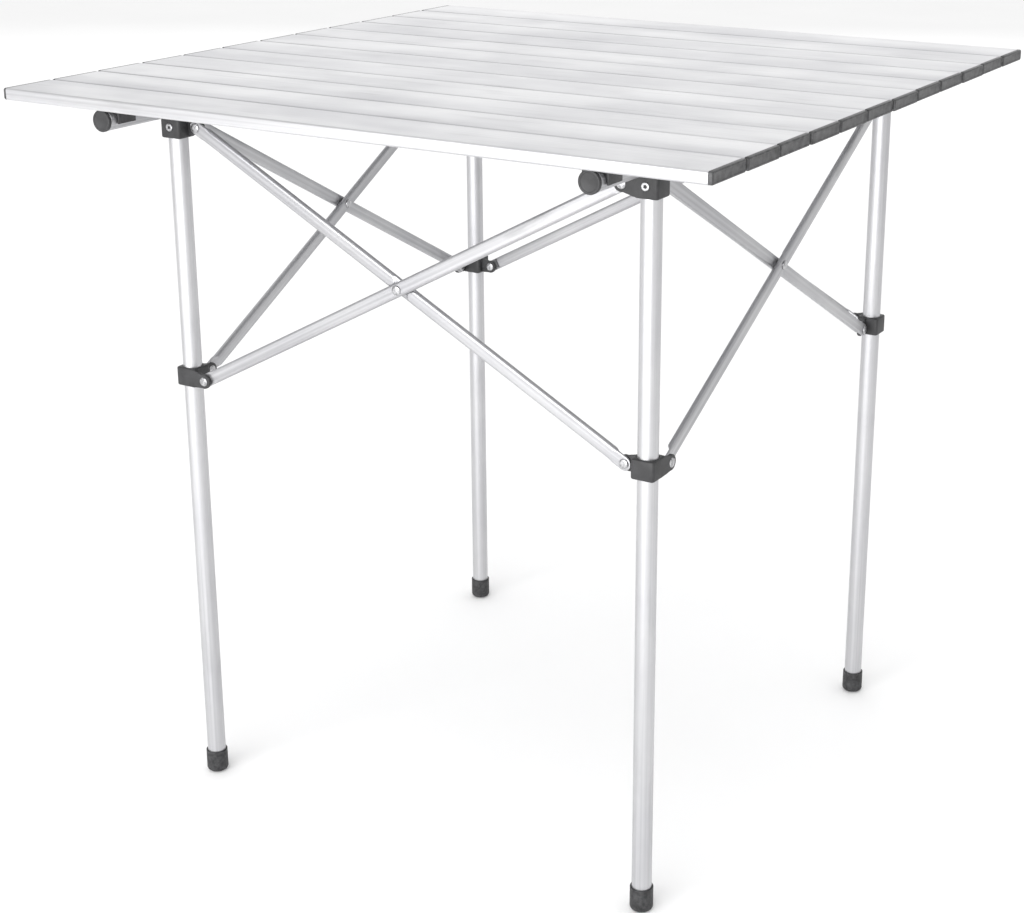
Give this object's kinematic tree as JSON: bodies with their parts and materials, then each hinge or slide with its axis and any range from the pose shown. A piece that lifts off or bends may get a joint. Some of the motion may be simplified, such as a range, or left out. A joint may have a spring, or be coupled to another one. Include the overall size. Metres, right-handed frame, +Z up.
{
  "type": "folding picnic table",
  "caption": "Square folding camping table with a roll-up slatted aluminium top on two rails and four legs joined by folding scissor braces.",
  "frame": {"origin": "on the floor, under the middle of the table top", "axes": "+X along the slats, +Y from the front slat to the back slat, +Z up"},
  "size_m": [0.701, 0.7042, 0.7],
  "materials": {
    "anodised_aluminium": "satin anodised",
    "tube_aluminium": "satin anodised",
    "black_plastic": "moulded",
    "foot_plastic": "moulded",
    "rivet_steel": "zinc plated"
  },
  "bodies": {
    "leg_unit_front_left": {"leg_front_left": "tube_aluminium", "foot_front_left": "foot_plastic", "top_bracket_front_left": "black_plastic", "leg_rivet_front_left": "rivet_steel"},
    "slider_unit_front_left": {"slider_front_left": "black_plastic"},
    "leg_unit_front_right": {"leg_front_right": "tube_aluminium", "foot_front_right": "foot_plastic", "top_bracket_front_right": "black_plastic", "leg_rivet_front_right": "rivet_steel"},
    "slider_unit_front_right": {"slider_front_right": "black_plastic"},
    "leg_unit_back_right": {"leg_back_right": "tube_aluminium", "foot_back_right": "foot_plastic", "top_bracket_back_right": "black_plastic", "leg_rivet_back_right": "rivet_steel"},
    "slider_unit_back_right": {"slider_back_right": "black_plastic"},
    "leg_unit_back_left": {"leg_back_left": "tube_aluminium", "foot_back_left": "foot_plastic", "top_bracket_back_left": "black_plastic", "leg_rivet_back_left": "rivet_steel"},
    "slider_unit_back_left": {"slider_back_left": "black_plastic"},
    "brace_unit_front_inner": {"brace_front_inner": "tube_aluminium", "crossing_rivet_front": "rivet_steel"},
    "brace_unit_front_outer": {"brace_front_outer": "tube_aluminium"},
    "brace_unit_right_inner": {"brace_right_inner": "tube_aluminium", "crossing_rivet_right": "rivet_steel"},
    "brace_unit_right_outer": {"brace_right_outer": "tube_aluminium"},
    "brace_unit_back_inner": {"brace_back_inner": "tube_aluminium", "crossing_rivet_back": "rivet_steel"},
    "brace_unit_back_outer": {"brace_back_outer": "tube_aluminium"},
    "brace_unit_left_inner": {"brace_left_inner": "tube_aluminium", "crossing_rivet_left": "rivet_steel"},
    "brace_unit_left_outer": {"brace_left_outer": "tube_aluminium"},
    "rail_unit_left": {"rail_left": "tube_aluminium", "rail_plug_left_front": "black_plastic", "rail_plug_left_back": "black_plastic"},
    "rail_unit_right": {"rail_right": "tube_aluminium", "rail_plug_right_front": "black_plastic", "rail_plug_right_back": "black_plastic"},
    "slat_unit_01": {"slat_01": "anodised_aluminium", "rail_clip_left_front": "black_plastic", "rail_clip_right_front": "black_plastic"},
    "slat_unit_02": {"slat_02": "anodised_aluminium"},
    "slat_unit_03": {"slat_03": "anodised_aluminium"},
    "slat_unit_04": {"slat_04": "anodised_aluminium"},
    "slat_unit_05": {"slat_05": "anodised_aluminium"},
    "slat_unit_06": {"slat_06": "anodised_aluminium"},
    "slat_unit_07": {"slat_07": "anodised_aluminium"},
    "slat_unit_08": {"slat_08": "anodised_aluminium"},
    "slat_unit_09": {"slat_09": "anodised_aluminium"},
    "slat_unit_10": {"slat_10": "anodised_aluminium"},
    "slat_unit_11": {"slat_11": "anodised_aluminium"},
    "slat_unit_12": {"slat_12": "anodised_aluminium", "rail_clip_left_back": "black_plastic", "rail_clip_right_back": "black_plastic"}
  },
  "joints": [
    {"name": "frame_fold", "type": "hinge", "parent": "leg_unit_front_left", "child": "brace_unit_front_inner", "pos_m": [-0.223, -0.245, 0.65975], "axis": [0, 1, 0], "range_deg": [0, 60]},
    {"name": "front_crossing", "type": "hinge", "parent": "brace_unit_front_inner", "child": "brace_unit_front_outer", "pos_m": [0, -0.245, 0.54012], "axis": [0, 1, 0], "range_deg": [-120, 0]},
    {"name": "front_right_leg_pivot", "type": "hinge", "parent": "brace_unit_front_outer", "child": "leg_unit_front_right", "pos_m": [0.223, -0.245, 0.65975], "axis": [0, 1, 0], "range_deg": [0, 60]},
    {"name": "front_left_slider_pivot", "type": "hinge", "parent": "brace_unit_front_outer", "child": "slider_unit_front_left", "pos_m": [-0.223, -0.245, 0.4205], "axis": [0, 1, 0], "range_deg": [0, 60]},
    {"name": "front_right_slider_pivot", "type": "hinge", "parent": "brace_unit_front_inner", "child": "slider_unit_front_right", "pos_m": [0.223, -0.245, 0.4205], "axis": [0, 1, 0], "range_deg": [-60, 0]},
    {"name": "left_brace_pivot", "type": "hinge", "parent": "leg_unit_front_left", "child": "brace_unit_left_outer", "pos_m": [-0.245, -0.223, 0.65975], "axis": [1, 0, 0], "range_deg": [-60, 0]},
    {"name": "left_crossing", "type": "hinge", "parent": "brace_unit_left_outer", "child": "brace_unit_left_inner", "pos_m": [-0.245, 0, 0.54012], "axis": [1, 0, 0], "range_deg": [0, 120]},
    {"name": "back_left_leg_pivot", "type": "hinge", "parent": "brace_unit_left_inner", "child": "leg_unit_back_left", "pos_m": [-0.245, 0.223, 0.65975], "axis": [1, 0, 0], "range_deg": [-60, 0]},
    {"name": "back_left_slider_pivot", "type": "hinge", "parent": "brace_unit_left_outer", "child": "slider_unit_back_left", "pos_m": [-0.245, 0.223, 0.4205], "axis": [1, 0, 0], "range_deg": [0, 60]},
    {"name": "right_brace_pivot", "type": "hinge", "parent": "leg_unit_front_right", "child": "brace_unit_right_inner", "pos_m": [0.245, -0.223, 0.65975], "axis": [-1, 0, 0], "range_deg": [0, 60]},
    {"name": "right_crossing", "type": "hinge", "parent": "brace_unit_right_inner", "child": "brace_unit_right_outer", "pos_m": [0.245, 0, 0.54012], "axis": [-1, 0, 0], "range_deg": [-120, 0]},
    {"name": "back_right_leg_pivot", "type": "hinge", "parent": "brace_unit_right_outer", "child": "leg_unit_back_right", "pos_m": [0.245, 0.223, 0.65975], "axis": [-1, 0, 0], "range_deg": [0, 60]},
    {"name": "back_right_slider_pivot", "type": "hinge", "parent": "brace_unit_right_inner", "child": "slider_unit_back_right", "pos_m": [0.245, 0.223, 0.4205], "axis": [-1, 0, 0], "range_deg": [-60, 0]},
    {"name": "back_brace_pivot", "type": "hinge", "parent": "leg_unit_back_left", "child": "brace_unit_back_outer", "pos_m": [-0.223, 0.245, 0.65975], "axis": [0, -1, 0], "range_deg": [-60, 0]},
    {"name": "back_crossing", "type": "hinge", "parent": "brace_unit_back_outer", "child": "brace_unit_back_inner", "pos_m": [0, 0.245, 0.54012], "axis": [0, -1, 0], "range_deg": [0, 120]},
    {"name": "top_lift", "type": "slide", "parent": "leg_unit_front_left", "child": "rail_unit_left", "axis": [0, 0, 1], "range_m": [0, 0.12]},
    {"name": "right_rail_lift", "type": "slide", "parent": "leg_unit_front_left", "child": "rail_unit_right", "axis": [0, 0, 1], "range_m": [0, 0.12]},
    {"name": "top_unclip", "type": "slide", "parent": "rail_unit_left", "child": "slat_unit_12", "axis": [0, 0, 1], "range_m": [0, 0.05]},
    {"name": "top_roll", "type": "hinge", "parent": "slat_unit_02", "child": "slat_unit_01", "pos_m": [0, -0.294, 0.7], "axis": [-1, 0, 0], "range_deg": [0, 60]},
    {"name": "slat_02_roll", "type": "hinge", "parent": "slat_unit_03", "child": "slat_unit_02", "pos_m": [0, -0.2352, 0.7], "axis": [-1, 0, 0], "range_deg": [0, 60]},
    {"name": "slat_03_roll", "type": "hinge", "parent": "slat_unit_04", "child": "slat_unit_03", "pos_m": [0, -0.1764, 0.7], "axis": [-1, 0, 0], "range_deg": [0, 60]},
    {"name": "slat_04_roll", "type": "hinge", "parent": "slat_unit_05", "child": "slat_unit_04", "pos_m": [0, -0.1176, 0.7], "axis": [-1, 0, 0], "range_deg": [0, 60]},
    {"name": "slat_05_roll", "type": "hinge", "parent": "slat_unit_06", "child": "slat_unit_05", "pos_m": [0, -0.0588, 0.7], "axis": [-1, 0, 0], "range_deg": [0, 40.1]},
    {"name": "slat_06_roll", "type": "hinge", "parent": "slat_unit_07", "child": "slat_unit_06", "pos_m": [0, 0, 0.7], "axis": [-1, 0, 0], "range_deg": [0, 40.1]},
    {"name": "slat_07_roll", "type": "hinge", "parent": "slat_unit_08", "child": "slat_unit_07", "pos_m": [0, 0.0588, 0.7], "axis": [-1, 0, 0], "range_deg": [0, 40.1]},
    {"name": "slat_08_roll", "type": "hinge", "parent": "slat_unit_09", "child": "slat_unit_08", "pos_m": [0, 0.1176, 0.7], "axis": [-1, 0, 0], "range_deg": [0, 40.1]},
    {"name": "slat_09_roll", "type": "hinge", "parent": "slat_unit_10", "child": "slat_unit_09", "pos_m": [0, 0.1764, 0.7], "axis": [-1, 0, 0], "range_deg": [0, 40.1]},
    {"name": "slat_10_roll", "type": "hinge", "parent": "slat_unit_11", "child": "slat_unit_10", "pos_m": [0, 0.2352, 0.7], "axis": [-1, 0, 0], "range_deg": [0, 40.1]},
    {"name": "slat_11_roll", "type": "hinge", "parent": "slat_unit_12", "child": "slat_unit_11", "pos_m": [0, 0.294, 0.7], "axis": [-1, 0, 0], "range_deg": [0, 40.1]}
  ],
  "couplings": [
    {"joint": "front_crossing", "follows": "frame_fold", "ratio": -2},
    {"joint": "front_right_leg_pivot", "follows": "frame_fold", "ratio": 1},
    {"joint": "front_left_slider_pivot", "follows": "frame_fold", "ratio": 1},
    {"joint": "front_right_slider_pivot", "follows": "frame_fold", "ratio": -1},
    {"joint": "left_brace_pivot", "follows": "frame_fold", "ratio": -1},
    {"joint": "left_crossing", "follows": "frame_fold", "ratio": 2},
    {"joint": "back_left_leg_pivot", "follows": "frame_fold", "ratio": -1},
    {"joint": "back_left_slider_pivot", "follows": "frame_fold", "ratio": 1},
    {"joint": "right_brace_pivot", "follows": "frame_fold", "ratio": 1},
    {"joint": "right_crossing", "follows": "frame_fold", "ratio": -2},
    {"joint": "back_right_leg_pivot", "follows": "frame_fold", "ratio": 1},
    {"joint": "back_right_slider_pivot", "follows": "frame_fold", "ratio": -1},
    {"joint": "back_brace_pivot", "follows": "frame_fold", "ratio": -1},
    {"joint": "back_crossing", "follows": "frame_fold", "ratio": 2},
    {"joint": "right_rail_lift", "follows": "top_lift", "ratio": 1},
    {"joint": "slat_02_roll", "follows": "top_roll", "ratio": 1},
    {"joint": "slat_03_roll", "follows": "top_roll", "ratio": 1},
    {"joint": "slat_04_roll", "follows": "top_roll", "ratio": 1},
    {"joint": "slat_05_roll", "follows": "top_roll", "ratio": 0.66667},
    {"joint": "slat_06_roll", "follows": "top_roll", "ratio": 0.66667},
    {"joint": "slat_07_roll", "follows": "top_roll", "ratio": 0.66667},
    {"joint": "slat_08_roll", "follows": "top_roll", "ratio": 0.66667},
    {"joint": "slat_09_roll", "follows": "top_roll", "ratio": 0.66667},
    {"joint": "slat_10_roll", "follows": "top_roll", "ratio": 0.66667},
    {"joint": "slat_11_roll", "follows": "top_roll", "ratio": 0.66667}
  ]
}
